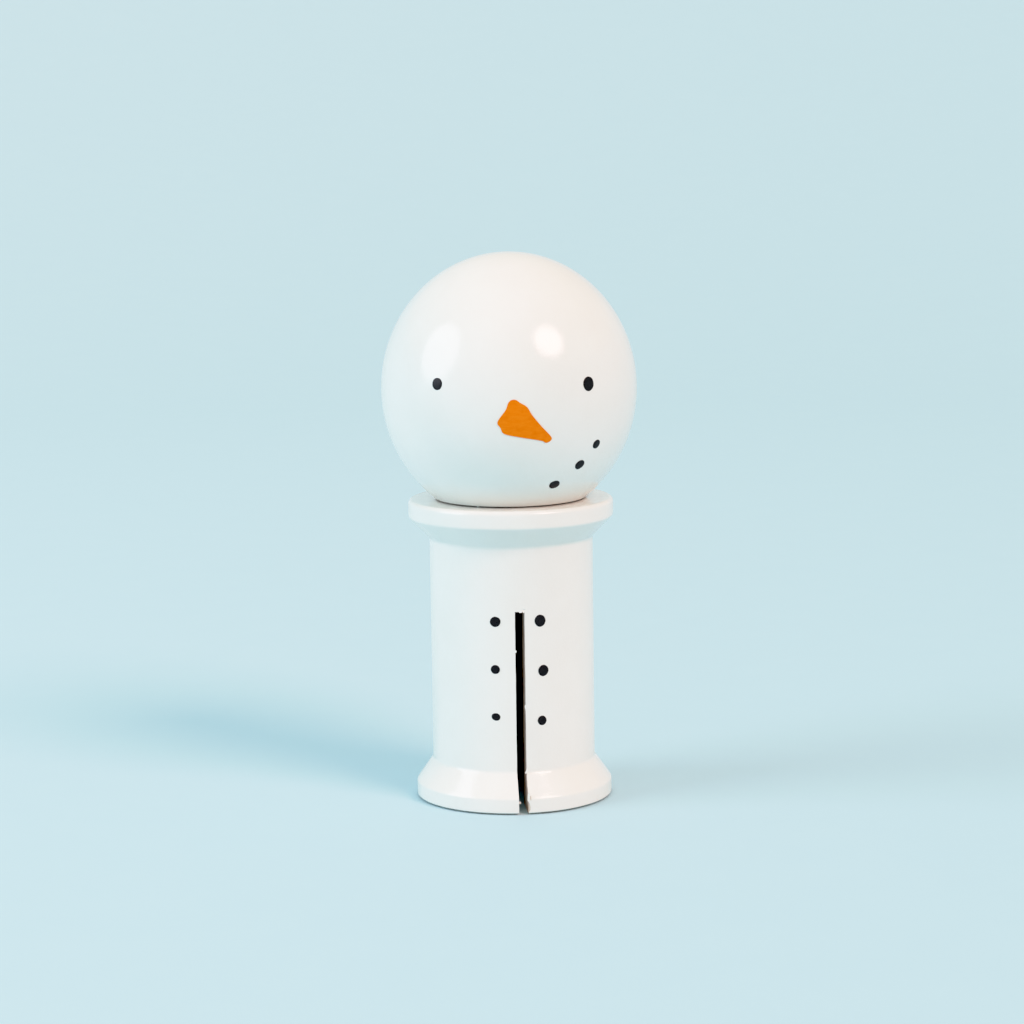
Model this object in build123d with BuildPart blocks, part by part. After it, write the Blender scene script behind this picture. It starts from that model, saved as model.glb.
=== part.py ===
from build123d import *

import math
import os

# A white-painted wooden snowman peg: a spool for a body, bored and sawn up the middle
# from its foot, and a ball for a head, held together by a glued dowel. The eyes,
# nose, mouth and buttons are thin paint on top of the white coat.
# The origin is the middle of the foot, +Z is up and the face looks along -Y.

# Spool, measured over its paint
SPOOL_HEIGHT = 38.1
BARREL_RADIUS = 10.33
FOOT_RIM_RADIUS = 12.42
FOOT_RIM_HEIGHT = 2.0
FOOT_CONE_TOP = 4.95
FOOT_CHAMFER = 0.3
COLLAR_RADIUS = 12.95
COLLAR_CONE_FOOT = 33.2
COLLAR_RIM_FOOT = 35.9
RIM_ROUNDING = 0.55
COVE_RADIUS = 0.8

# Bore up from the foot
BORE_RADIUS = 6.35
BORE_DEPTH = 26.1

# Saw slot: it passes through both walls, a little off the face's own centre line
SLOT_WIDTH = 1.2
SLOT_TOP = 25.2
SLOT_TURN = 5.0

# Ball head, measured over its paint: slightly taller than wide, cut flat below
HEAD_RADIUS = 16.05
HEAD_HALF_HEIGHT = 17.05
HEAD_CENTRE_HEIGHT = 51.95
SEAM_GAP = 0.2
HEAD_FLAT_HEIGHT = SPOOL_HEIGHT + SEAM_GAP

# Neck dowel, glued into a through hole in the spool and a blind one in the ball
NECK_HOLE_RADIUS = 4.75
DOWEL_RADIUS = 4.7
DOWEL_LENGTH = 22.0
DOWEL_CHAMFER = 0.6
DOWEL_END_ROOM = 0.5
DOWEL_FOOT_HEIGHT = BORE_DEPTH + DOWEL_END_ROOM

# Paint: the white film, and the ink or orange film on top of it
PAINT_FILM = 0.12
INK_FILM = 0.06

# Painted dots: azimuth in degrees from the front, positive towards +X, then height and
# diameter. On the ball the height is from its middle, and on the barrel from the foot.
HEAD_DOTS = {
    "left_eye": (-33.2, 2.0, 1.45),
    "right_eye": (36.9, 1.7, 1.65),
    "mouth_dot_1": (25.5, -10.8, 1.35),
    "mouth_dot_2": (37.3, -8.4, 1.35),
    "mouth_dot_3": (44.5, -5.95, 1.2),
}
BUTTONS = {
    "button_left_1": (-12.0, 24.0, 1.3),
    "button_left_2": (-12.4, 18.0, 1.15),
    "button_left_3": (-12.4, 12.0, 1.05),
    "button_right_1": (19.2, 24.0, 1.45),
    "button_right_2": (21.2, 17.7, 1.35),
    "button_right_3": (19.8, 11.4, 1.15),
}

# Carrot nose: its corners seen from the front, from the middle of the head
NOSE_CORNERS = [
    (0.5, 0.4),
    (2.3, -0.8),
    (3.6, -2.9),
    (5.3, -4.6),
    (4.6, -5.4),
    (3.5, -4.9),
    (-0.9, -4.1),
    (-1.7, -2.5),
    (-0.5, -0.9),
]
NOSE_ROUNDING = 0.3

FOOT_CONE_LEAN = math.atan2(FOOT_RIM_RADIUS - BARREL_RADIUS, FOOT_CONE_TOP - FOOT_RIM_HEIGHT)
COLLAR_CONE_LEAN = math.atan2(COLLAR_RADIUS - BARREL_RADIUS, COLLAR_RIM_FOOT - COLLAR_CONE_FOOT)
SEAT_RADIUS = HEAD_RADIUS * math.sqrt(
    1 - ((HEAD_CENTRE_HEIGHT - HEAD_FLAT_HEIGHT) / HEAD_HALF_HEIGHT) ** 2
)


def spool_half_outline(film):
    """Half of the turned spool's section, at this depth below its painted surface."""
    foot_shift = film * math.tan(FOOT_CONE_LEAN / 2)
    collar_shift = film * math.tan(COLLAR_CONE_LEAN / 2)
    foot_radius = FOOT_RIM_RADIUS - FOOT_CHAMFER - film * math.sqrt(2)
    foot_edge_height = FOOT_CHAMFER - film * (math.sqrt(2) - 1)
    rounded_corners = [
        (FOOT_RIM_RADIUS - film, FOOT_RIM_HEIGHT - foot_shift, RIM_ROUNDING - film),
        (BARREL_RADIUS - film, FOOT_CONE_TOP - foot_shift, COVE_RADIUS + film),
        (BARREL_RADIUS - film, COLLAR_CONE_FOOT + collar_shift, COVE_RADIUS + film),
        (COLLAR_RADIUS - film, COLLAR_RIM_FOOT + collar_shift, RIM_ROUNDING - film),
        (COLLAR_RADIUS - film, SPOOL_HEIGHT - film, RIM_ROUNDING - film),
    ]
    with BuildSketch(Plane.XZ) as half:
        with BuildLine():
            Polyline(
                (0, 0),
                (foot_radius, 0),
                (FOOT_RIM_RADIUS - film, foot_edge_height),
                *[(radius, height) for radius, height, _ in rounded_corners],
                (0, SPOOL_HEIGHT - film),
                close=True,
            )
        make_face()
        for radius, height, rounding in rounded_corners:
            corner = half.vertices().sort_by_distance((radius, height))[0]
            fillet(corner, radius=rounding)
    return half.sketch


def head_half_outline(film):
    """Half of the ball's section above its flat, at this depth below its painted surface."""
    with BuildSketch(Plane.XZ) as half:
        with Locations((0, HEAD_CENTRE_HEIGHT)):
            Ellipse(HEAD_RADIUS - film, HEAD_HALF_HEIGHT - film)
        with Locations((0, HEAD_FLAT_HEIGHT)):
            Rectangle(
                2 * HEAD_RADIUS,
                3 * HEAD_RADIUS,
                align=(Align.MIN, Align.MIN),
                mode=Mode.INTERSECT,
            )
    return half.sketch


def slot_outline():
    """The saw slot seen from above, longer than the foot is wide."""
    with BuildSketch(Plane.XY) as slot:
        Rectangle(SLOT_WIDTH, 3 * COLLAR_RADIUS, rotation=SLOT_TURN)
    return slot.sketch


def head_mark_plane(azimuth, height):
    """A plane touching the ball's paint, at this azimuth and height from the ball's middle."""
    around = math.radians(azimuth)
    reach = HEAD_RADIUS * math.sqrt(1 - (height / HEAD_HALF_HEIGHT) ** 2)
    x, y = reach * math.sin(around), -reach * math.cos(around)
    outwards = (x / HEAD_RADIUS**2, y / HEAD_RADIUS**2, height / HEAD_HALF_HEIGHT**2)
    return Plane(origin=(x, y, HEAD_CENTRE_HEIGHT + height), z_dir=outwards)


def barrel_mark_plane(azimuth, height):
    """A plane touching the barrel's paint, at this azimuth and height above the foot."""
    around = math.radians(azimuth)
    outwards = (math.sin(around), -math.cos(around), 0)
    origin = (BARREL_RADIUS * outwards[0], BARREL_RADIUS * outwards[1], height)
    return Plane(origin=origin, z_dir=outwards)


def painted_dot(plane, diameter, ink_skin):
    """A round dot of ink: the part of the ink skin inside a short cylinder on this plane."""
    with BuildPart() as dot:
        with BuildSketch(plane):
            Circle(diameter / 2)
        extrude(amount=diameter / 2, both=True)
        add(ink_skin, mode=Mode.INTERSECT)
    return dot.part


os.makedirs("parts", exist_ok=True)

# Spool body: bare turned wood, bored from the foot, drilled through at the neck and
# split from the foot by the slot
with BuildPart() as spool_body:
    add(spool_half_outline(PAINT_FILM))
    revolve(axis=Axis.Z)
    with BuildSketch(Plane.XY):
        Circle(BORE_RADIUS)
    extrude(amount=BORE_DEPTH, mode=Mode.SUBTRACT)
    with BuildSketch(Plane.XY):
        Circle(NECK_HOLE_RADIUS)
    extrude(amount=SPOOL_HEIGHT, mode=Mode.SUBTRACT)
    add(slot_outline())
    extrude(amount=SLOT_TOP, mode=Mode.SUBTRACT)
spool_body.part.label = "spool_body"
export_step(spool_body.part, "parts/spool_body.step")

# Head ball: bare turned wood with a flat and a blind hole for the dowel
with BuildPart() as head_ball:
    add(head_half_outline(PAINT_FILM))
    revolve(axis=Axis.Z)
    with BuildSketch(Plane.XY.offset(HEAD_FLAT_HEIGHT)):
        Circle(NECK_HOLE_RADIUS)
    extrude(
        amount=DOWEL_FOOT_HEIGHT + DOWEL_LENGTH + DOWEL_END_ROOM - HEAD_FLAT_HEIGHT,
        mode=Mode.SUBTRACT,
    )
head_ball.part.label = "head_ball"
export_step(head_ball.part, "parts/head_ball.step")

# Neck dowel: half in the spool, half in the ball, chamfered at both ends
with BuildPart() as neck_dowel:
    with BuildSketch(Plane.XY.offset(DOWEL_FOOT_HEIGHT)):
        Circle(DOWEL_RADIUS)
    extrude(amount=DOWEL_LENGTH)
    chamfer(neck_dowel.edges().filter_by(GeomType.CIRCLE), length=DOWEL_CHAMFER)
neck_dowel.part.label = "neck_dowel"
export_step(neck_dowel.part, "parts/neck_dowel.step")

# White coat of the spool: outside only, bare under the head, under the foot and in the slot
with BuildPart() as spool_paint_coat:
    add(spool_half_outline(0))
    revolve(axis=Axis.Z)
    add(spool_half_outline(PAINT_FILM))
    revolve(axis=Axis.Z, mode=Mode.SUBTRACT)
    with BuildSketch(Plane.XY.offset(SPOOL_HEIGHT)):
        Circle(SEAT_RADIUS)
    extrude(amount=-2 * PAINT_FILM, mode=Mode.SUBTRACT)
    add(slot_outline())
    extrude(amount=SLOT_TOP, mode=Mode.SUBTRACT)
spool_paint_coat.part.label = "spool_paint_coat"
export_step(spool_paint_coat.part, "parts/spool_paint_coat.step")

# White coat of the head, open over the flat
with BuildPart() as head_paint_coat:
    add(head_half_outline(0))
    revolve(axis=Axis.Z)
    add(head_half_outline(PAINT_FILM))
    revolve(axis=Axis.Z, mode=Mode.SUBTRACT)
head_paint_coat.part.label = "head_paint_coat"
export_step(head_paint_coat.part, "parts/head_paint_coat.step")

# Ink skins: a film over the whole ball and the whole barrel, which the marks are cut from
with BuildPart() as head_ink_skin:
    add(head_half_outline(-INK_FILM))
    revolve(axis=Axis.Z)
    add(head_half_outline(0))
    revolve(axis=Axis.Z, mode=Mode.SUBTRACT)

with BuildPart() as barrel_ink_skin:
    with BuildSketch(Plane.XY):
        Circle(BARREL_RADIUS + INK_FILM)
        Circle(BARREL_RADIUS, mode=Mode.SUBTRACT)
    extrude(amount=SPOOL_HEIGHT)

# Eyes and mouth dots on the ball
for name, (azimuth, height, diameter) in HEAD_DOTS.items():
    head_dot = painted_dot(head_mark_plane(azimuth, height), diameter, head_ink_skin.part)
    head_dot.label = name
    export_step(head_dot, f"parts/{name}.step")

# Buttons on the barrel
for name, (azimuth, height, diameter) in BUTTONS.items():
    button = painted_dot(barrel_mark_plane(azimuth, height), diameter, barrel_ink_skin.part)
    button.label = name
    export_step(button, f"parts/{name}.step")

# Carrot nose: its outline pushed straight back on to the ball
with BuildPart() as carrot_nose:
    with BuildSketch(Plane.XZ) as nose_outline:
        with Locations((0, HEAD_CENTRE_HEIGHT)):
            Polygon(*NOSE_CORNERS, align=None)
        fillet(nose_outline.vertices(), radius=NOSE_ROUNDING)
    extrude(amount=2 * HEAD_RADIUS)
    add(head_ink_skin.part, mode=Mode.INTERSECT)
carrot_nose.part.label = "carrot_nose"
export_step(carrot_nose.part, "parts/carrot_nose.step")
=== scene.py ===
"""Looks of a painted wooden snowman peg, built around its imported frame."""

import logging
import math
from dataclasses import dataclass, field
from enum import Enum
from itertools import pairwise
from typing import Callable, NamedTuple, Sequence

import bmesh
import bpy
from mathutils import Matrix, Vector


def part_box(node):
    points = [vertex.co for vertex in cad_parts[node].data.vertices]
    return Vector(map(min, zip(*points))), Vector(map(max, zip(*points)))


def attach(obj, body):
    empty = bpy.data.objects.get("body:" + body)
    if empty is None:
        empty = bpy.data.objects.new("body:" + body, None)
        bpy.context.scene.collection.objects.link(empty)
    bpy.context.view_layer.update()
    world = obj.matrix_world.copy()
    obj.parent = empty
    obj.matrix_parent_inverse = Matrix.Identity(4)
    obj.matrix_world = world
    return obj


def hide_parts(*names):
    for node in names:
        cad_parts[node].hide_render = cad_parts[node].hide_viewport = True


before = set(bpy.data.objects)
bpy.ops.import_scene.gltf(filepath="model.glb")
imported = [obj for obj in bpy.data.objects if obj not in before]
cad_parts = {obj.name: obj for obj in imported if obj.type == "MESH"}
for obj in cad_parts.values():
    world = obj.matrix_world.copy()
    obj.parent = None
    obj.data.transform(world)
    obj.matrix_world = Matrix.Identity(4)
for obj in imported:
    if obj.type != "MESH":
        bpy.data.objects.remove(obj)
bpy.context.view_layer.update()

MM = 0.001
BODY = "root"
LOG = logging.getLogger("peg")

Point = tuple[float, float]
Colour = tuple[float, float, float]


class Slot(Enum):
    """The record's material slots."""

    SPOOL_WOOD = "spool_wood"
    HEAD_WOOD = "head_wood"
    DOWEL_WOOD = "dowel_wood"
    SPOOL_PAINT = "spool_white_paint"
    HEAD_PAINT = "head_white_paint"
    ORANGE = "orange_paint"
    INK = "black_ink"


# ---------------------------------------------------------------- shader nodes


class Value:
    """A number socket of a node tree that can be used in Python sums."""

    def __init__(self, tree: bpy.types.NodeTree, socket: bpy.types.NodeSocket) -> None:
        """Hold a socket.

        Args:
            tree: The node tree that the socket belongs to.
            socket: The output socket that gives the number.
        """
        self.tree = tree
        self.socket = socket

    def sum(self, operation: str, first: "Value | float", second: "Value | float") -> "Value":
        """Add one Math node.

        Args:
            operation: The Math node's operation.
            first: Its first value.
            second: Its second value.

        Returns:
            The node's result.
        """
        node = self.tree.nodes.new("ShaderNodeMath")
        node.operation = operation
        for place, number in enumerate((first, second)):
            if isinstance(number, Value):
                self.tree.links.new(number.socket, node.inputs[place])
            else:
                node.inputs[place].default_value = number
        return Value(self.tree, node.outputs[0])

    def __add__(self, other: "Value | float") -> "Value":
        """Return self + other."""
        return self.sum("ADD", self, other)

    def __radd__(self, other: float) -> "Value":
        """Return other + self."""
        return self.sum("ADD", other, self)

    def __sub__(self, other: "Value | float") -> "Value":
        """Return self - other."""
        return self.sum("SUBTRACT", self, other)

    def __rsub__(self, other: float) -> "Value":
        """Return other - self."""
        return self.sum("SUBTRACT", other, self)

    def __mul__(self, other: "Value | float") -> "Value":
        """Return self * other."""
        return self.sum("MULTIPLY", self, other)

    def __rmul__(self, other: float) -> "Value":
        """Return other * self."""
        return self.sum("MULTIPLY", other, self)



class Finish:
    """The node tree of one material, read in the piece's own coordinates."""

    def __init__(self, name: str) -> None:
        """Start an empty material.

        Args:
            name: The material's name.
        """
        self.material = bpy.data.materials.new(name)
        self.material.use_nodes = True
        self.tree = self.material.node_tree
        self.tree.nodes.clear()

    def node(
        self,
        kind: str,
        settings: dict[str, object] | None = None,
        inputs: dict[str | int, object] | None = None,
    ) -> bpy.types.Node:
        """Add a node.

        Args:
            kind: The node's type.
            settings: Its settings, such as an operation, or "stops" for a ramp.
            inputs: A number, colour, Value or socket for each named or numbered input.

        Returns:
            The new node.
        """
        node = self.tree.nodes.new(kind)
        for name, setting in (settings or {}).items():
            if name == "stops":
                self._set_stops(node, setting)
            else:
                setattr(node, name, setting)
        for name, given in (inputs or {}).items():
            if isinstance(given, Value):
                self.tree.links.new(given.socket, node.inputs[name])
            elif isinstance(given, bpy.types.NodeSocket):
                self.tree.links.new(given, node.inputs[name])
            else:
                node.inputs[name].default_value = given
        return node

    @staticmethod
    def _set_stops(ramp: bpy.types.Node, stops: Sequence[tuple[float, float]]) -> None:
        """Give a ramp its grey stops.

        Args:
            ramp: The Color Ramp node.
            stops: A position and a brightness for each stop.
        """
        elements = ramp.color_ramp.elements
        for extra in range(len(stops) - len(elements)):
            elements.new(0.5 + 0.01 * extra)
        for element, (position, level) in zip(elements, stops):
            element.position = position
            element.color = (level, level, level, 1)

    def place(
        self,
        size: float,
        stretch: Colour = (1, 1, 1),
        turn: Colour = (0, 0, 0),
        shift: Colour = (0, 0, 0),
    ) -> bpy.types.NodeSocket:
        """Give a pattern its coordinates.

        Args:
            size: The pattern's unit, in millimetres.
            stretch: How much longer the pattern is along each axis.
            turn: The pattern's turn about each axis, in degrees.
            shift: The pattern's shift along each axis, in millimetres.

        Returns:
            The vector socket.
        """
        texture = self.node("ShaderNodeTexCoord")
        moved = self.node(
            "ShaderNodeMapping",
            {"vector_type": "POINT"},
            {
                "Vector": texture.outputs["Object"],
                "Location": tuple(amount / size for amount in shift),
                "Rotation": tuple(math.radians(angle) for angle in turn),
                "Scale": tuple(1 / (size * MM * longer) for longer in stretch),
            },
        )
        return moved.outputs[0]

    def noise(
        self,
        size: float,
        detail: float = 2.0,
        roughness: float = 0.5,
        stretch: Colour = (1, 1, 1),
        turn: Colour = (0, 0, 0),
    ) -> Value:
        """Add a noise.

        Args:
            size: The size of its blobs, in millimetres.
            detail: How many finer layers it has.
            roughness: How strong they are.
            stretch: How much longer the blobs are along each axis.
            turn: The pattern's turn about each axis, in degrees.

        Returns:
            The noise, from 0 to 1.
        """
        made = self.node(
            "ShaderNodeTexNoise",
            {},
            {
                "Vector": self.place(size, stretch, turn),
                "Scale": 1.0,
                "Detail": detail,
                "Roughness": roughness,
            },
        )
        return Value(self.tree, made.outputs[0])

    def ramp(self, value: Value, *stops: tuple[float, float]) -> Value:
        """Pass a value through grey stops.

        Args:
            value: The value.
            *stops: A position and a brightness for each stop.

        Returns:
            The new value.
        """
        made = self.node("ShaderNodeValToRGB", {"stops": stops}, {0: value})
        return Value(self.tree, made.outputs[0])

    def blend(
        self,
        amount: Value,
        first: Colour | bpy.types.NodeSocket,
        second: Colour | bpy.types.NodeSocket,
    ) -> bpy.types.NodeSocket:
        """Blend two colours.

        Args:
            amount: 0 gives the first colour and 1 the second.
            first: A linear colour or a colour socket.
            second: A linear colour or a colour socket.

        Returns:
            The blended colour's socket.
        """
        colours = [c if isinstance(c, bpy.types.NodeSocket) else (*c, 1.0) for c in (first, second)]
        factor, a_colour, b_colour, result = 0, 6, 7, 2
        made = self.node(
            "ShaderNodeMix",
            {"data_type": "RGBA"},
            {factor: amount, a_colour: colours[0], b_colour: colours[1]},
        )
        return made.outputs[result]

    def bump(
        self, height: Value, depth: float, under: bpy.types.NodeSocket | None = None
    ) -> bpy.types.NodeSocket:
        """Add fine relief.

        Args:
            height: The relief, from 0 to 1.
            depth: How deep it is, in millimetres.
            under: The normal that it's added to.

        Returns:
            The new normal's socket.
        """
        inputs = {"Strength": 1.0, "Distance": depth * MM, "Height": height}
        if under is not None:
            inputs["Normal"] = under
        return self.node("ShaderNodeBump", {}, inputs).outputs[0]

    def surface(self, **inputs: object) -> bpy.types.Material:
        """Finish the material.

        Args:
            **inputs: The shader's inputs, with _ for each space in their names.

        Returns:
            The material.
        """
        named = {name.replace("_", " "): given for name, given in inputs.items()}
        shader = self.node("ShaderNodeBsdfPrincipled", {}, named)
        output = self.node("ShaderNodeOutputMaterial")
        self.tree.links.new(shader.outputs[0], output.inputs[0])
        return self.material


@dataclass(frozen=True)
class WhitePaint:
    """White acrylic paint: fine orange peel, faint brush lines and grain below it."""

    name: str
    body: Colour = (0.865, 0.872, 0.828)
    thin: Colour = (0.845, 0.848, 0.80)
    gloss_roughness: float = 0.07
    peel_size: float = 0.3
    peel_depth: float = 0.013
    grain_depth: float = 0.003

    def make(self) -> bpy.types.Material:
        """Build the paint."""
        finish = Finish(self.name)
        patches = finish.ramp(finish.noise(6.0, 4.0, 0.6), (0.35, 0.0), (0.7, 1.0))
        specks = finish.ramp(finish.noise(0.5, 3.0, 0.7), (0.66, 0.0), (0.8, 0.35))
        colour = finish.blend(specks, finish.blend(patches, self.body, self.thin), self.thin)
        peel = finish.noise(self.peel_size, 2.0, 0.55)
        grain = finish.noise(0.5, 3.0, 0.6, stretch=(1, 1, 14))
        normal = finish.bump(grain, self.grain_depth)
        normal = finish.bump(peel, self.peel_depth, normal)
        return finish.surface(
            Base_Color=colour,
            Roughness=self.gloss_roughness + 0.06 * finish.noise(1.4, 3.0),
            Normal=normal,
            IOR=1.5,
        )


@dataclass(frozen=True)
class BareWood:
    """Bare close-grained hardwood, with its fibres along Z and rings round a far pith."""

    name: str
    early: Colour = (0.74, 0.605, 0.48)
    late: Colour = (0.61, 0.47, 0.36)
    pore: Colour = (0.36, 0.25, 0.18)
    ring_width: float = 1.7
    pith: Colour = (19.0, 11.0, 0.0)

    def make(self) -> bpy.types.Material:
        """Build the wood."""
        finish = Finish(self.name)
        rings_node = finish.node(
            "ShaderNodeTexWave",
            {"wave_type": "RINGS", "rings_direction": "Z", "wave_profile": "SAW"},
            {
                "Vector": finish.place(self.ring_width, shift=self.pith),
                "Scale": 0.32,
                "Distortion": 1.4,
                "Detail": 3.0,
                "Detail Scale": 0.6,
            },
        )
        rings = Value(finish.tree, rings_node.outputs["Fac"])
        fibres = finish.noise(0.16, 3.0, 0.6, stretch=(1, 1, 22))
        pits = finish.noise(0.11, 1.0, 0.5, stretch=(1, 1, 9))
        pores = finish.ramp(pits, (0.66, 0.0), (0.72, 1.0))
        colour = finish.blend(rings * 0.75 + fibres * 0.3, self.early, self.late)
        colour = finish.blend(pores * 0.8, colour, self.pore)
        normal = finish.bump(fibres - pores, 0.03)
        return finish.surface(
            Base_Color=self.add_shade_and_dust(finish, colour),
            Roughness=0.62 + 0.25 * fibres,
            Normal=normal,
            IOR=1.45,
        )

    def add_shade_and_dust(self, finish: Finish, colour: bpy.types.NodeSocket) -> bpy.types.NodeSocket:
        """Add painted shade and dust to the wood's own colour; plain wood adds none.

        Args:
            finish: The material's node tree.
            colour: The clean wood's colour.

        Returns:
            The colour of the surface, here the clean wood's.
        """
        return colour


@dataclass(frozen=True)
class SawnWood(BareWood):
    """Bare wood with painted shade near the axis, inside the bore, and paint dust with painted
    light near its skin by the slot's mouth.
    """

    # The first colour is painted shade for the bore; the second stands for paint dust together with
    # painted light near the wood's skin.
    bore_shade: Colour = (0.22, 0.15, 0.10)
    dust_and_light: Colour = (0.80, 0.80, 0.78)
    reach: float = 16.0
    bore_shade_to: Point = (6.4, 6.8)
    dust_and_light_from: Point = (6.9, 10.0)
    dust_and_light_to: Point = (10.7, 11.8)
    clean_foot: Point = (0.3, 1.4)

    def add_shade_and_dust(self, finish: Finish, colour: bpy.types.NodeSocket) -> bpy.types.NodeSocket:
        """Paint shade onto the wood near the spool's axis, and paint dust with painted light near
        its skin.

        Args:
            finish: The material's node tree.
            colour: The clean wood's colour.

        Returns:
            The colour of the surface.
        """
        flat = finish.place(self.reach, stretch=(1, 1, 1e6))
        length = finish.node("ShaderNodeVectorMath", {"operation": "LENGTH"}, {0: flat})
        radius = Value(finish.tree, length.outputs["Value"])
        deepest_shade, clean = (place / self.reach for place in self.bore_shade_to)
        # Painted shade: the wood darkens towards the axis, inside the bore.
        colour = finish.blend(
            finish.ramp(radius, (deepest_shade, 0.0), (clean, 1.0)), self.bore_shade, colour
        )
        # Paint dust together with painted light: the wood is lighter near its skin by the slot's
        # mouth, and kept off the foot's underside.
        start, full = (place / self.reach for place in self.dust_and_light_from)
        fading, end = (place / self.reach for place in self.dust_and_light_to)
        dust_and_light_mask = finish.ramp(radius, (start, 0.1), (full, 0.9), (fading, 0.9), (end, 0.4))
        split = finish.node("ShaderNodeSeparateXYZ", {}, {0: finish.place(self.reach)})
        height = Value(finish.tree, split.outputs["Z"])
        low, high = (place / self.reach for place in self.clean_foot)
        dust_and_light_mask = dust_and_light_mask * finish.ramp(height, (low, 0.0), (high, 1.0))
        return finish.blend(dust_and_light_mask, colour, self.dust_and_light)


@dataclass(frozen=True)
class BlackInk:
    """Near-black paint that dried with a soft shine."""

    name: str = "black_paint_dot"
    body: Colour = (0.010, 0.0065, 0.0075)
    worn: Colour = (0.017, 0.013, 0.015)

    def make(self) -> bpy.types.Material:
        """Build the ink."""
        finish = Finish(self.name)
        patches = finish.ramp(finish.noise(0.35, 3.0, 0.6), (0.4, 0.0), (0.7, 1.0))
        return finish.surface(
            Base_Color=finish.blend(patches, self.body, self.worn),
            Roughness=0.2 + 0.25 * finish.noise(0.25, 2.0),
            Normal=finish.bump(finish.noise(0.2, 3.0), 0.01),
            Specular_IOR_Level=0.36,
        )


@dataclass(frozen=True)
class OrangePaint:
    """Orange paint put on in short strokes, a little thinner between them."""

    name: str = "carrot_orange_paint"
    body: Colour = (0.87, 0.225, 0.012)
    thin: Colour = (0.90, 0.262, 0.018)
    deep: Colour = (0.80, 0.185, 0.008)

    def make(self) -> bpy.types.Material:
        """Build the paint."""
        finish = Finish(self.name)
        strokes = finish.noise(0.24, 3.0, 0.6, stretch=(4.5, 1, 1), turn=(0, 40, 0))
        patches = finish.noise(1.3, 3.0, 0.6)
        colour = finish.blend(finish.ramp(strokes, (0.4, 0.0), (0.7, 1.0)), self.body, self.thin)
        colour = finish.blend(finish.ramp(patches, (0.5, 0.0), (0.75, 0.8)), colour, self.deep)
        return finish.surface(
            Base_Color=colour,
            Roughness=0.38 + 0.2 * patches,
            Normal=finish.bump(strokes, 0.005),
            Specular_IOR_Level=0.15,
        )


@dataclass(frozen=True)
class StudioPaper:
    """Matt pale-blue backdrop paper."""

    name: str = "backdrop_paper"
    body: Colour = (0.558, 0.782, 0.868)
    shade: Colour = (0.545, 0.768, 0.86)

    def make(self) -> bpy.types.Material:
        """Build the paper."""
        finish = Finish(self.name)
        return finish.surface(
            Base_Color=finish.blend(finish.noise(9.0, 4.0, 0.6), self.body, self.shade),
            Roughness=0.9 + 0.05 * finish.noise(1.0),
            Specular_IOR_Level=0.15,
        )


# ------------------------------------------------------------------- modelling


class Corner(NamedTuple):
    """A corner of a turned outline, in millimetres."""

    radius: float
    height: float
    rounding: float = 0.0


def deselect_all() -> None:
    """Deselect every object."""
    bpy.ops.object.select_all(action="DESELECT")


def make_active(piece: bpy.types.Object) -> None:
    """Select one piece alone and make it active.

    Args:
        piece: The piece.
    """
    deselect_all()
    piece.select_set(True)
    bpy.context.view_layer.objects.active = piece


def start_piece(
    name: str, primitive: Callable[..., set[str]], **settings: object
) -> bpy.types.Object:
    """Add a primitive with nothing else selected.

    Args:
        name: The piece's name.
        primitive: The operator that adds it.
        **settings: The operator's settings.

    Returns:
        The new object.
    """
    deselect_all()
    primitive(**settings)
    piece = bpy.context.active_object
    piece.name = name
    piece.data.name = name
    return piece


def settle(piece: bpy.types.Object) -> None:
    """Put a piece's place, turn and scale into its mesh.

    Args:
        piece: The piece.
    """
    make_active(piece)
    bpy.ops.object.transform_apply(location=True, rotation=True, scale=True)


def put_at(piece: bpy.types.Object, matrix: Matrix) -> None:
    """Move a piece by a matrix and settle it there.

    Args:
        piece: The piece.
        matrix: Where it goes.
    """
    piece.matrix_world = matrix
    bpy.context.view_layer.update()
    settle(piece)


def apply_modifier(piece: bpy.types.Object, kind: str, **settings: object) -> None:
    """Add a modifier and apply it.

    Args:
        piece: The piece.
        kind: The modifier's type.
        **settings: Its settings.
    """
    make_active(piece)
    modifier = piece.modifiers.new(kind.lower(), kind)
    for name, setting in settings.items():
        setattr(modifier, name, setting)
    bpy.ops.object.modifier_apply(modifier=modifier.name)


def cut(piece: bpy.types.Object, cutter: bpy.types.Object, operation: str = "DIFFERENCE") -> None:
    """Cut a piece with a closed cutter and delete the cutter.

    Args:
        piece: The piece.
        cutter: The cutter.
        operation: DIFFERENCE takes the cutter's shape away, INTERSECT keeps only what it holds.
    """
    apply_modifier(piece, "BOOLEAN", object=cutter, operation=operation, solver="MANIFOLD")
    bpy.data.meshes.remove(cutter.data)


def tidy_shell(piece: bpy.types.Object) -> None:
    """Merge doubled points and turn every face outwards.

    Args:
        piece: The piece.
    """
    make_active(piece)
    bpy.ops.object.mode_set(mode="EDIT")
    bpy.ops.mesh.select_all(action="SELECT")
    bpy.ops.mesh.remove_doubles(threshold=0.0005 * MM)
    bpy.ops.mesh.normals_make_consistent(inside=False)
    bpy.ops.object.mode_set(mode="OBJECT")


def select_vertices(piece: bpy.types.Object, wanted: Callable[[Vector], bool]) -> None:
    """Select vertices in edit mode by their place.

    Args:
        piece: The piece, in edit mode.
        wanted: Whether a vertex at this place, in metres, is wanted.
    """
    bpy.ops.mesh.select_mode(type="VERT")
    bpy.ops.mesh.select_all(action="DESELECT")
    mesh = bmesh.from_edit_mesh(piece.data)
    for vertex in mesh.verts:
        vertex.select_set(wanted(vertex.co))
    mesh.select_flush(True)
    bmesh.update_edit_mesh(piece.data)


def clouds(name: str, size: float) -> bpy.types.Texture:
    """Make a soft noise for Displace modifiers.

    Args:
        name: Its name.
        size: The size of its blobs, in millimetres.

    Returns:
        The texture.
    """
    texture = bpy.data.textures.new(name, "CLOUDS")
    texture.noise_scale = size * MM
    texture.noise_depth = 2
    return texture


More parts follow.
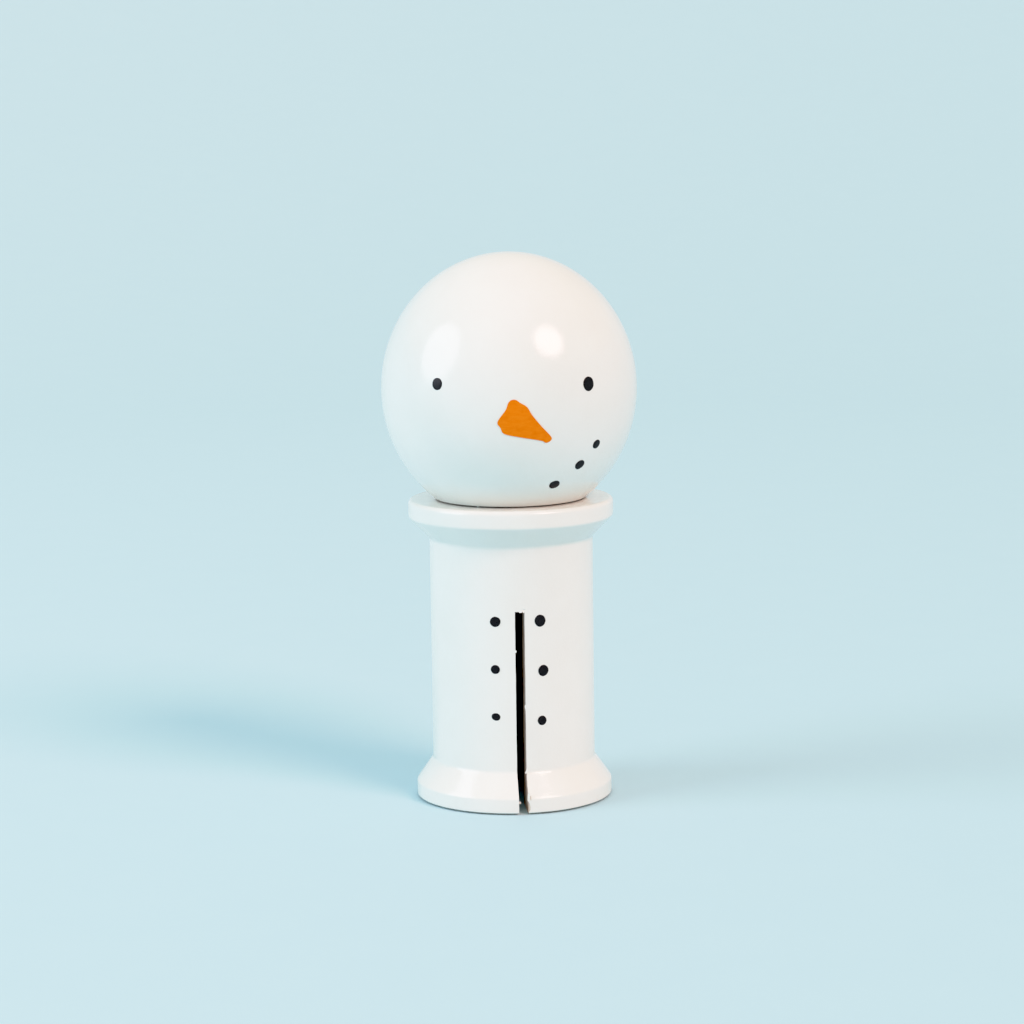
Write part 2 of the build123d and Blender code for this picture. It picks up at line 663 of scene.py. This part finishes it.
def turned_outline(corners: Sequence[Corner], step: float, arc_steps: int = 6) -> list[Point]:
    """Round an outline's corners and divide its straight runs.

    Args:
        corners: The corners, from one end of the outline to the other.
        step: The longest straight run, in millimetres.
        arc_steps: How many runs a rounded corner has.

    Returns:
        The outline's points, as radius and height in millimetres.
    """
    points = [Vector(corners[0][:2])]
    for before, corner, after in zip(corners, corners[1:], corners[2:]):
        here = Vector(corner[:2])
        if corner.rounding == 0:
            points.append(here)
            continue
        back = (Vector(before[:2]) - here).normalized()
        ahead = (Vector(after[:2]) - here).normalized()
        half = back.angle(ahead) / 2
        centre = here + (back + ahead).normalized() * corner.rounding / math.sin(half)
        reach = corner.rounding / math.tan(half)
        first, last = here + back * reach - centre, here + ahead * reach - centre
        points += [
            centre + corner.rounding * first.slerp(last, turn / arc_steps)
            for turn in range(arc_steps + 1)
        ]
    points.append(Vector(corners[-1][:2]))
    outline = [tuple(points[0])]
    for start, end in pairwise(points):
        runs = max(1, math.ceil((end - start).length / step))
        outline += [tuple(start.lerp(end, run / runs)) for run in range(1, runs + 1)]
    return outline


def turn_piece(name: str, outline: Sequence[Point], segments: int) -> bpy.types.Object:
    """Turn an outline round Z, one ring after another.

    Args:
        name: The piece's name.
        outline: Radius and height of each ring, in millimetres.
        segments: How many segments each ring has.

    Returns:
        The turned shell, closed if the outline ends where it starts.
    """
    radius, height = outline[0]
    piece = start_piece(
        name,
        bpy.ops.mesh.primitive_circle_add,
        vertices=segments,
        radius=radius * MM,
        location=(0, 0, height * MM),
        fill_type="NOTHING",
    )
    settle(piece)
    bpy.ops.object.mode_set(mode="EDIT")
    bpy.ops.mesh.select_all(action="SELECT")
    for (radius, height), (next_radius, next_height) in pairwise(outline):
        rise = (next_height - height) * MM
        bpy.ops.mesh.extrude_region_move(TRANSFORM_OT_translate={"value": (0, 0, rise)})
        growth = next_radius / radius
        bpy.ops.transform.resize(
            value=(growth, growth, 1), center_override=(0, 0, next_height * MM)
        )
    bpy.ops.object.mode_set(mode="OBJECT")
    tidy_shell(piece)
    return piece


def close_ring(piece: bpy.types.Object, wanted: Callable[[Vector], bool]) -> None:
    """Fill an open ring with one face.

    Args:
        piece: The piece.
        wanted: Whether a vertex at this place, in metres, is on the ring.
    """
    make_active(piece)
    bpy.ops.object.mode_set(mode="EDIT")
    select_vertices(piece, wanted)
    bpy.ops.mesh.edge_face_add()
    bpy.ops.object.mode_set(mode="OBJECT")
    tidy_shell(piece)


def finish_piece(
    piece: bpy.types.Object, material: bpy.types.Material, slot: Slot, *nodes: str
) -> None:
    """Smooth, dress and mount a finished piece.

    Args:
        piece: The piece.
        material: Its material.
        slot: The record's slot that it stands for; not used.
        *nodes: The CAD nodes that it replaces.
    """
    make_active(piece)
    bpy.ops.object.shade_smooth_by_angle(angle=math.radians(35))
    piece.data.materials.clear()
    piece.data.materials.append(material)
    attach(piece, BODY)
    if nodes:
        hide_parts(*nodes)
    LOG.info("%s: %d faces", piece.name, len(piece.data.polygons))


def dress_node(node: str, material: bpy.types.Material) -> None:
    """Give a CAD node a better material.

    Args:
        node: The node's name.
        material: The material.
    """
    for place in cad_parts[node].material_slots:
        place.material = material
    LOG.info("%s: dressed", node)


# ------------------------------------------------------------------------ body


@dataclass(frozen=True)
class Chip:
    """A place by the slot where the paint has gone, in millimetres."""

    across: float
    height: float
    radius: float
    wide: float
    tall: float
    deep: float = 0.3
    raggedness: float = 0.3

    def make(self, name: str, turn: float) -> bpy.types.Object:
        """Model the chip as a rough pebble that cuts the paint away.

        Args:
            name: The cutter's name.
            turn: The slot's turn about Z, in degrees.

        Returns:
            The cutter.
        """
        around = math.radians(turn)
        across = Vector((math.cos(around), math.sin(around), 0))
        ahead = Vector((math.sin(around), -math.cos(around), 0))
        reach = math.sqrt(self.radius**2 - self.across**2)
        pebble = start_piece(
            name, bpy.ops.mesh.primitive_ico_sphere_add, subdivisions=4, radius=MM
        )
        pebble.scale = (self.wide / 2, self.deep, self.tall / 2)
        settle(pebble)
        apply_modifier(
            pebble,
            "DISPLACE",
            texture=clouds(f"{name}_edge", 0.25),
            strength=self.raggedness * self.deep * MM,
            mid_level=0.5,
        )
        place = (across * self.across + ahead * reach) * MM
        put_at(pebble, Matrix.Translation(place + Vector((0, 0, self.height * MM))))
        return pebble


@dataclass
class Spool:
    """The turned, bored and sawn body with its coat of paint, in millimetres."""

    height: float = 38.1
    barrel_radius: float = 10.33
    foot_rim_radius: float = 12.42
    foot_rim_height: float = 2.0
    foot_cone_top: float = 4.95
    foot_easing: float = 0.55
    collar_radius: float = 12.95
    collar_cone_foot: float = 33.2
    collar_rim_foot: float = 35.9
    rim_rounding: float = 0.55
    cove_radius: float = 0.8
    bore_radius: float = 6.35
    bore_depth: float = 26.1
    neck_hole_radius: float = 4.75
    slot_width: float = 1.2
    slot_top: float = 25.22
    slot_turn: float = 5.0
    seat_radius: float = 9.2
    paint_film: float = 0.12
    paint_edge: float = 0.19
    edge_easing: float = 0.12
    wave_depth: float = 0.035
    wood_scatter: float = 0.09
    paint_scatter: float = 0.05
    saw_drift: float = 0.06
    segments: int = 224
    chips: tuple[Chip, ...] = (
        Chip(0.5, 25.42, 10.33, 0.42, 0.34, 0.09),
        Chip(0.66, 0.95, 12.37, 0.3, 1.1),
        Chip(0.86, 2.25, 12.37, 0.09, 0.85),
    )

    def outside(self, film: float, edge: Sequence[Corner]) -> list[Corner]:
        """Give the corners of the spool's outside.

        Args:
            film: How deep they lie below the painted surface.
            edge: The corners of the foot's lower edge.

        Returns:
            The corners, from the foot's edge up to the collar's top edge.
        """
        foot_lean = math.atan2(
            self.foot_rim_radius - self.barrel_radius, self.foot_cone_top - self.foot_rim_height
        )
        collar_lean = math.atan2(
            self.collar_radius - self.barrel_radius, self.collar_rim_foot - self.collar_cone_foot
        )
        foot_shift = film * math.tan(foot_lean / 2)
        collar_shift = film * math.tan(collar_lean / 2)
        return [
            *edge,
            Corner(
                self.foot_rim_radius - film,
                self.foot_rim_height - foot_shift,
                self.rim_rounding - film,
            ),
            Corner(
                self.barrel_radius - film,
                self.foot_cone_top - foot_shift,
                self.cove_radius + film,
            ),
            Corner(
                self.barrel_radius - film,
                self.collar_cone_foot + collar_shift,
                self.cove_radius + film,
            ),
            Corner(
                self.collar_radius - film,
                self.collar_rim_foot + collar_shift,
                self.rim_rounding - film,
            ),
            Corner(self.collar_radius - film, self.height - film, self.rim_rounding - film),
        ]

    def saw(self, name: str, scatter: float) -> bpy.types.Object:
        """Model the saw's path as a cutter: a thin slab with rough sides.

        Args:
            name: The cutter's name.
            scatter: How far its sides wander, in millimetres.

        Returns:
            The cutter.
        """
        margin = 2.0
        tall, deep = self.slot_top + margin, 2 * (self.collar_radius + margin)
        cutter = start_piece(
            name,
            bpy.ops.mesh.primitive_grid_add,
            x_subdivisions=110,
            y_subdivisions=48,
            size=1,
            rotation=(0, math.pi / 2, 0),
            location=(-self.slot_width / 2 * MM, 0, (self.slot_top - tall / 2) * MM),
        )
        cutter.scale = (tall * MM, deep * MM, 1)
        settle(cutter)
        bpy.ops.object.mode_set(mode="EDIT")
        bpy.ops.mesh.select_all(action="SELECT")
        bpy.ops.mesh.extrude_region_move(
            TRANSFORM_OT_translate={"value": (self.slot_width * MM, 0, 0)}
        )
        bpy.ops.object.mode_set(mode="OBJECT")
        tidy_shell(cutter)
        apply_modifier(
            cutter,
            "DISPLACE",
            texture=clouds(f"{name}_scatter", 0.5),
            strength=scatter * MM,
            mid_level=0.5,
            direction="NORMAL",
        )
        apply_modifier(
            cutter,
            "DISPLACE",
            texture=clouds(f"{name}_drift", 5.0),
            strength=self.saw_drift * MM,
            mid_level=0.5,
            direction="X",
        )
        cutter.rotation_euler.z = math.radians(self.slot_turn)
        settle(cutter)
        return cutter

    def make_wood(self) -> bpy.types.Object:
        """Turn the bare spool with its bore and saw its slot."""
        inside = [
            Corner(self.neck_hole_radius, self.height - self.paint_film),
            Corner(self.neck_hole_radius, self.bore_depth),
            Corner(self.bore_radius, self.bore_depth, 0.2),
            Corner(self.bore_radius, 0),
        ]
        rim = self.foot_rim_radius - self.paint_film
        edge = Corner(rim - self.foot_easing, 0), Corner(rim, self.foot_easing, 0.15)
        corners = [Corner(self.bore_radius, 0), *self.outside(self.paint_film, edge), *inside]
        wood = turn_piece("sawn_spool", turned_outline(corners, 0.8, 3), 128)
        cut(wood, self.saw("saw_path", self.wood_scatter))
        return wood

    def make_coat(self) -> bpy.types.Object:
        """Turn the white coat, give it its thickness and open it at the slot."""
        rim = self.foot_rim_radius
        edge = (
            Corner(rim - self.edge_easing, self.paint_edge),
            Corner(rim, self.paint_edge + self.edge_easing, 0.1),
        )
        corners = [*self.outside(0, edge), Corner(self.seat_radius, self.height)]
        coat = turn_piece("spool_white_coat", turned_outline(corners, 0.4), self.segments)
        apply_modifier(
            coat,
            "DISPLACE",
            texture=clouds("spool_paint_waves", 3.5),
            strength=self.wave_depth * MM,
            mid_level=1.0,
        )
        apply_modifier(coat, "SOLIDIFY", thickness=self.paint_film * MM, offset=-1)
        cutters = [
            *(chip.make(f"chip_{place}", self.slot_turn) for place, chip in enumerate(self.chips)),
            self.saw("paint_tear", self.paint_scatter),
        ]
        for cutter in cutters:
            cut(coat, cutter)
        return coat


@dataclass
class Flake:
    """A curled chip of paint or splinter of wood by the slot, in millimetres."""

    name: str
    across: float
    height: float
    radius: float
    width: float
    tall: float
    tilt: float = 0.0
    lift: float = 0.0
    curl: float = 40.0
    thickness: float = 0.07
    raggedness: float = 0.16
    edge_blobs: float = 300.0

    def make(self, turn: float) -> bpy.types.Object:
        """Shape the flake and set it beside the slot.

        Args:
            turn: The slot's turn about Z, in degrees.

        Returns:
            The flake.
        """
        flake = start_piece(
            self.name, bpy.ops.mesh.primitive_grid_add, x_subdivisions=14, y_subdivisions=20, size=1
        )
        bpy.ops.object.mode_set(mode="EDIT")
        bpy.ops.mesh.select_all(action="SELECT")
        bpy.ops.transform.tosphere(value=0.7)
        bpy.ops.object.mode_set(mode="OBJECT")
        flake.scale = (self.width, self.tall, 1)
        settle(flake)
        apply_modifier(
            flake,
            "DISPLACE",
            texture=clouds(f"{self.name}_edge", self.edge_blobs),
            strength=self.raggedness * self.width,
            mid_level=0.5,
            direction="X",
        )
        apply_modifier(
            flake,
            "SIMPLE_DEFORM",
            deform_method="BEND",
            deform_axis="Y",
            angle=math.radians(self.curl),
        )
        apply_modifier(flake, "SOLIDIFY", thickness=self.thickness, offset=0)
        flake.scale = (MM, MM, MM)
        settle(flake)
        tidy_shell(flake)
        around = math.radians(turn)
        across = Vector((math.cos(around), math.sin(around), 0))
        ahead = Vector((math.sin(around), -math.cos(around), 0))
        reach = math.sqrt(self.radius**2 - self.across**2)
        place = across * self.across + ahead * reach + Vector((0, 0, self.height))
        outwards = (across * self.across + ahead * reach).normalized()
        lean = Matrix.Rotation(math.radians(self.lift), 4, "Y")
        spin = Matrix.Rotation(math.radians(self.tilt), 4, "Z")
        put_at(flake, touching_matrix(place * MM, outwards) @ spin @ lean)
        return flake


# ------------------------------------------------------------------------ head


@dataclass
class Head:
    """The ball head's coat and the places on it, in millimetres."""

    radius: float = 16.05
    half_height: float = 17.05
    centre_height: float = 51.95
    flat_height: float = 38.2
    lip_height: float = 38.36
    lip_radius: float = 9.42
    lip_flare: Point = (0.16, 0.04)
    pole: float = 89.8
    paint_film: float = 0.12
    wave_depth: float = 0.018
    ring_turn: float = 1.4
    segments: int = 256

    def make_coat(self) -> bpy.types.Object:
        """Shape the white coat: a ball cut off at its flat, with a wall of paint."""
        start = math.degrees(math.asin((self.lip_height - self.centre_height) / self.half_height))
        span = self.pole - start
        steps = round(span / self.ring_turn)
        turns = [math.radians(start + span * step / steps) for step in range(steps + 1)]
        ball = [
            Corner(
                self.radius * math.cos(turn), self.centre_height + self.half_height * math.sin(turn)
            )
            for turn in turns
        ]
        out, up = self.lip_flare
        lip = [
            Corner(self.lip_radius, self.flat_height),
            Corner(self.lip_radius + out, self.flat_height + up),
        ]
        coat = turn_piece("head_white_coat", turned_outline([*lip, *ball], 1.0), self.segments)
        close_ring(coat, lambda place: place.xy.length < MM and place.z > self.centre_height * MM)
        apply_modifier(
            coat,
            "DISPLACE",
            texture=clouds("head_paint_waves", 5.0),
            strength=self.wave_depth * MM,
            mid_level=1.0,
        )
        apply_modifier(coat, "SOLIDIFY", thickness=self.paint_film * MM, offset=-1)
        return coat

    def touch(self, node: str) -> Matrix:
        """Find the plane that touches the ball at a painted mark.

        Args:
            node: The mark's CAD node.

        Returns:
            A matrix with its origin on the paint, in metres, and Z outwards.
        """
        low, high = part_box(node)
        centre = Vector((0, 0, self.centre_height * MM))
        axes = Vector((self.radius, self.radius, self.half_height)) * MM
        ray = (low + high) / 2 - centre
        reach = math.sqrt(sum((part / axis) ** 2 for part, axis in zip(ray, axes)))
        point = ray / reach
        outwards = Vector([part / axis**2 for part, axis in zip(point, axes)]).normalized()
        return touching_matrix(centre + point, outwards)


def touching_matrix(point: Vector, outwards: Vector) -> Matrix:
    """Make the matrix of a plane that touches a surface.

    Args:
        point: Where it touches, in metres.
        outwards: The surface's normal there.

    Returns:
        The matrix, with Z outwards and Y as near to up as it can be.
    """
    across = Vector((0, 0, 1)).cross(outwards).normalized()
    up = outwards.cross(across)
    return Matrix.Translation(point) @ Matrix((across, up, outwards)).transposed().to_4x4()


def barrel_touch(node: str, radius: float) -> Matrix:
    """Find the plane that touches the barrel at a painted mark.

    Args:
        node: The mark's CAD node.
        radius: The barrel's radius over its paint, in millimetres.

    Returns:
        A matrix with its origin on the paint, in metres, and Z outwards.
    """
    low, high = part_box(node)
    middle = (low + high) / 2
    outwards = Vector((middle.x, middle.y, 0)).normalized()
    point = outwards * radius * MM
    point.z = middle.z
    return touching_matrix(point, outwards)


@dataclass
class PaintDot:
    """One dot of black paint, domed where it dried, in millimetres."""

    node: str
    width: float
    tall: float
    tilt: float = 0.0
    lobes: float = 0.06
    thickness: float = 0.055
    apart: float = 1000.0

    def make(self, touch: Matrix) -> bpy.types.Object:
        """Shape the dot and set it on the paint.

        Args:
            touch: The plane that it sits on.

        Returns:
            The dot.
        """
        dot = start_piece(
            f"{self.node}_paint",
            bpy.ops.mesh.primitive_uv_sphere_add,
            segments=40,
            ring_count=20,
            radius=MM,
        )
        waves = clouds(f"{self.node}_outline", 0.9)
        noise_place = touch.translation * self.apart
        dot.location = noise_place
        settle(dot)
        apply_modifier(
            dot,
            "DISPLACE",
            texture=waves,
            texture_coords="LOCAL",
            strength=self.lobes * 2 * MM,
            mid_level=0.5,
        )
        dot.location = -noise_place
        settle(dot)
        dot.scale = (self.width / 2, self.tall / 2, self.thickness)
        settle(dot)
        put_at(dot, touch @ Matrix.Rotation(math.radians(self.tilt), 4, "Z"))
        return dot


@dataclass
class CarrotNose:
    """The orange nose: a film of paint with a hand-drawn outline, in millimetres."""

    corners: tuple[Point, ...] = (
        (0.2, 0.2),
        (0.75, 0.2),
        (1.25, -0.15),
        (2.1, -0.7),
        (2.7, -1.7),
        (3.8, -3.1),
        (4.95, -4.45),
        (4.9, -4.95),
        (4.3, -5.2),
        (3.7, -4.9),
        (1.2, -4.4),
        (-0.7, -3.95),
        (-1.15, -3.2),
        (-1.5, -2.45),
        (-0.5, -1.0),
        (-0.2, -0.2),
    )
    thickness: float = 0.05
    sunk: float = 0.08
    outward_share: float = 0.08
    stroke_depth: float = 0.03
    margin: float = 0.6
    stand_off: float = 1.5
    pitch: float = 0.1

    def outline(self) -> list[Point]:
        """Draw a smooth closed line through the corners."""
        smooth = []
        count = len(self.corners)
        steps = 6
        for place in range(count):
            p0, p1, p2, p3 = (Vector(self.corners[(place + k) % count]) for k in (-1, 0, 1, 2))
            for step in range(steps):
                t = step / steps
                point = 0.5 * (
                    2 * p1
                    + (p2 - p0) * t
                    + (2 * p0 - 5 * p1 + 4 * p2 - p3) * t**2
                    + (3 * p1 - p0 - 3 * p2 + p3) * t**3
                )
                smooth.append((point.x, point.y))
        return smooth

    def make(self, head: Head, coat: bpy.types.Object) -> bpy.types.Object:
        """Lay a film on the ball and trim it to the outline.

        Args:
            head: The head's sizes.
            coat: The head's finished coat.

        Returns:
            The nose.
        """
        xs, zs = zip(*self.corners)
        wide = max(xs) - min(xs) + 2 * self.margin
        tall = max(zs) - min(zs) + 2 * self.margin
        ahead = self.stand_off * head.radius * MM
        middle = (max(xs) + min(xs)) / 2, (max(zs) + min(zs)) / 2 + head.centre_height
        nose = start_piece(
            "carrot_nose_paint",
            bpy.ops.mesh.primitive_grid_add,
            x_subdivisions=round(wide / self.pitch),
            y_subdivisions=round(tall / self.pitch),
            size=1,
            rotation=(math.pi / 2, 0, 0),
            location=(middle[0] * MM, -ahead, middle[1] * MM),
        )
        nose.scale = (wide * MM, tall * MM, 1)
        settle(nose)
        apply_modifier(
            nose,
            "SHRINKWRAP",
            target=coat,
            wrap_method="PROJECT",
            use_project_y=True,
            use_positive_direction=True,
            use_negative_direction=False,
        )
        apply_modifier(
            nose,
            "DISPLACE",
            texture=clouds("nose_strokes", 0.7),
            strength=self.stroke_depth * MM,
            mid_level=0.5,
            direction="Y",
        )
        depth = self.thickness + self.sunk
        apply_modifier(nose, "SOLIDIFY", thickness=depth * MM, offset=self.outward_share)
        drawn = self.outline()
        cutter = start_piece(
            "nose_outline", bpy.ops.mesh.primitive_circle_add, vertices=len(drawn), fill_type="NGON"
        )
        for vertex, (x, z) in zip(cutter.data.vertices, drawn):
            vertex.co = (x * MM, -ahead, (z + head.centre_height) * MM)
        make_active(cutter)
        bpy.ops.object.mode_set(mode="EDIT")
        bpy.ops.mesh.select_all(action="SELECT")
        bpy.ops.mesh.extrude_region_move(TRANSFORM_OT_translate={"value": (0, ahead, 0)})
        bpy.ops.object.mode_set(mode="OBJECT")
        tidy_shell(cutter)
        cut(nose, cutter, "INTERSECT")
        return nose


# ----------------------------------------------------------------------- stage


class Panel(NamedTuple):
    """A soft light panel, in millimetres, degrees from the front and watts."""

    name: str
    azimuth: float
    elevation: float
    distance: float
    size: Point
    power: float
    colour: Colour


@dataclass
class Studio:
    """The pale-blue sweep, the lights and the camera, in millimetres."""

    floor_radius: float = 440.0
    bend_start: float = 996.0
    bend_radius: float = 1500.0
    rim_radius: float = 1700.0
    rim_height: float = 591.0
    panels: tuple[Panel, ...] = (
        Panel("key_panel", 45, 38, 15000, (6700, 6300), 1230.0, (1.0, 0.55, 0.475)),
        Panel("fill_panel", -72, 25, 1100, (700, 850), 4.9, (0.87, 0.865, 1.0)),
    )
    surround_colour: Colour = (0.933, 1.0, 0.953)
    surround_strength: float = 0.738
    look_at: Colour = (0.0, 0.0, 40.0)
    camera_place: Colour = (-1.34, -374.46, 92.0)
    camera_yaw: float = 0.004
    camera_pitch: float = 0.148
    camera_roll: float = -0.014
    lens: float = 105.47
    tone_toe: float = 0.02
    tone_range: float = 2.0
    shoulder_start: float = 0.75
    shoulder_end: float = 1.375
    shoulder_power: float = 2.1
    shoulder_steps: int = 5

    def make_sweep(self) -> None:
        """Make the floor, which curves up into a wall all round."""
        corners = [
            Corner(self.floor_radius, 0),
            Corner(self.bend_start, 0, self.bend_radius),
            Corner(self.rim_radius, self.rim_height),
        ]
        sweep = turn_piece("studio_sweep", turned_outline(corners, 200, 32), 128)
        close_ring(sweep, lambda place: place.xy.length < (self.floor_radius + 1) * MM)
        bpy.ops.object.shade_smooth()
        sweep.data.materials.append(StudioPaper().make())

    def hang(self, panel: Panel) -> None:
        """Hang one soft light panel.

        Args:
            panel: The panel.
        """
        around, above = math.radians(panel.azimuth), math.radians(panel.elevation)
        away = Vector(
            (
                math.sin(around) * math.cos(above),
                -math.cos(around) * math.cos(above),
                math.sin(above),
            )
        )
        data = bpy.data.lights.new(panel.name, "AREA")
        data.shape = "ELLIPSE"
        data.size, data.size_y = (side * MM for side in panel.size)
        data.energy = panel.power
        data.color = panel.colour
        lamp = bpy.data.objects.new(panel.name, data)
        bpy.context.scene.collection.objects.link(lamp)
        lamp.location = (Vector(self.look_at) + away * panel.distance) * MM
        lamp.rotation_mode = "QUATERNION"
        lamp.rotation_quaternion = away.to_track_quat("Z", "Y")
        lamp.visible_camera = False

    def make_lights(self) -> None:
        """Hang the key light, the large fill and the soft surround."""
        for panel in self.panels:
            self.hang(panel)
        world = bpy.data.worlds.new("studio_surround")
        world.use_nodes = True
        sky = world.node_tree.nodes["Background"]
        sky.inputs["Color"].default_value = (*self.surround_colour, 1.0)
        sky.inputs["Strength"].default_value = self.surround_strength
        bpy.context.scene.world = world

    def shoulder(self, light: float) -> float:
        """Ease bright light towards white.

        Args:
            light: The light, between the shoulder's start and end.

        Returns:
            The brightness that it is shown at.
        """
        left = (self.shoulder_end - light) / (self.shoulder_end - self.shoulder_start)
        return 1 - (1 - self.shoulder_start) * left**self.shoulder_power

    def set_tone(self) -> None:
        """Give the picture a film-like toe and shoulder."""
        view = bpy.context.scene.view_settings
        view.view_transform = "Standard"
        view.use_curve_mapping = True
        tone = view.curve_mapping
        tone.black_level = (self.tone_toe,) * 3
        tone.white_level = (self.tone_range + self.tone_toe,) * 3
        curve = tone.curves[3]
        curve.points[0].location = (0, 0)
        curve.points[1].location = (1, 1)
        rise = (self.shoulder_end - self.shoulder_start) / self.shoulder_steps
        for step in range(self.shoulder_steps + 1):
            light = self.shoulder_start + rise * step
            curve.points.new(light / self.tone_range, self.shoulder(light))
        for point in curve.points:
            point.handle_type = "VECTOR"
        tone.update()

    def make_camera(self) -> None:
        """Stand the camera in front of the figure, a little above it."""
        yaw, pitch, roll = self.camera_yaw, self.camera_pitch, self.camera_roll
        ahead = Vector(
            (math.sin(yaw) * math.cos(pitch), math.cos(yaw) * math.cos(pitch), -math.sin(pitch))
        )
        right = ahead.cross(Vector((0, 0, 1))).normalized()
        up = right.cross(ahead)
        rolled_right = math.cos(roll) * right + math.sin(roll) * up
        rolled_up = math.cos(roll) * up - math.sin(roll) * right
        data = bpy.data.cameras.new("front_camera")
        data.lens = self.lens
        data.sensor_width = 36.0
        data.clip_start, data.clip_end = 0.01, 10.0
        camera = bpy.data.objects.new("front_camera", data)
        bpy.context.scene.collection.objects.link(camera)
        turn = Matrix((rolled_right, rolled_up, -ahead)).transposed().to_4x4()
        camera.matrix_world = Matrix.Translation(Vector(self.camera_place) * MM) @ turn
        bpy.context.scene.camera = camera


# ------------------------------------------------------------------------ main


@dataclass
class Snowman:
    """The whole painted figure."""

    spool: Spool = field(default_factory=Spool)
    head: Head = field(default_factory=Head)
    nose: CarrotNose = field(default_factory=CarrotNose)
    head_dots: tuple[PaintDot, ...] = (
        PaintDot("left_eye", 1.4, 1.5, 8),
        PaintDot("right_eye", 1.6, 1.75, -6),
        PaintDot("mouth_dot_1", 1.4, 1.3, 12),
        PaintDot("mouth_dot_2", 1.4, 1.3, 30),
        PaintDot("mouth_dot_3", 1.2, 1.15, 40),
    )
    flakes: tuple[Flake, ...] = (
        Flake("slot_top_flake", 0.1, 25.2, 10.28, 0.5, 0.24, 3),
        Flake("slot_corner_flake", 0.52, 25.18, 10.26, 0.3, 0.3, 35, 25),
        Flake("slot_left_bump", -0.56, 20.26, 10.3, 0.24, 0.34, 0, -20),
        Flake("slot_right_fleck", 0.56, 13.2, 10.28, 0.2, 0.62, 4, -20),
        Flake("slot_right_sliver", 0.6, 5.2, 10.58, 0.24, 0.95, -26, -15),
        Flake("foot_lifted_chip", 0.62, 2.25, 12.37, 0.34, 1.25, -3, -16),
        Flake("seam_paint_bridge", -4.8, 38.19, 9.52, 0.2, 0.2, 0, 0, 20, 0.05),
    )
    splinters: tuple[Flake, ...] = (
        Flake("foot_splinter", -0.47, 1.57, 12.27, 0.3, 0.4, 15, -10),
    )
    buttons: tuple[PaintDot, ...] = (
        PaintDot("button_left_1", 1.35, 1.28, 10),
        PaintDot("button_left_2", 1.15, 1.13, 0),
        PaintDot("button_left_3", 1.12, 0.95, -8),
        PaintDot("button_right_1", 1.42, 1.52, 20),
        PaintDot("button_right_2", 1.33, 1.42, -10),
        PaintDot("button_right_3", 1.15, 1.2, 0),
    )

    def build(self) -> None:
        """Build and dress every piece."""
        ink = BlackInk().make()
        # The spool's wood carries painted shade in its bore and paint dust with painted light by
        # the slot's mouth.
        bare = SawnWood("bare_spool_wood").make()
        finish_piece(self.spool.make_wood(), bare, Slot.SPOOL_WOOD, "spool_body")
        white = WhitePaint("white_spool_paint").make()
        finish_piece(self.spool.make_coat(), white, Slot.SPOOL_PAINT, "spool_paint_coat")
        for flake in self.flakes:
            finish_piece(flake.make(self.spool.slot_turn), white, Slot.SPOOL_PAINT)
        for splinter in self.splinters:
            finish_piece(splinter.make(self.spool.slot_turn), bare, Slot.SPOOL_WOOD)
        head_coat = self.head.make_coat()
        finish_piece(
            head_coat, WhitePaint("white_head_paint").make(), Slot.HEAD_PAINT, "head_paint_coat"
        )
        nose = self.nose.make(self.head, head_coat)
        finish_piece(nose, OrangePaint().make(), Slot.ORANGE, "carrot_nose")
        for dot in self.head_dots:
            finish_piece(dot.make(self.head.touch(dot.node)), ink, Slot.INK, dot.node)
        for dot in self.buttons:
            touch = barrel_touch(dot.node, self.spool.barrel_radius)
            finish_piece(dot.make(touch), ink, Slot.INK, dot.node)
        dress_node("head_ball", BareWood("bare_head_wood").make())
        dress_node("neck_dowel", BareWood("bare_dowel_wood", ring_width=1.1).make())


def main() -> None:
    """Build the figure in its studio."""
    logging.basicConfig(level=logging.INFO, format="%(name)s %(message)s")
    Snowman().build()
    studio = Studio()
    studio.make_sweep()
    studio.make_lights()
    studio.make_camera()
    studio.set_tone()


if __name__ == "__main__":
    main()
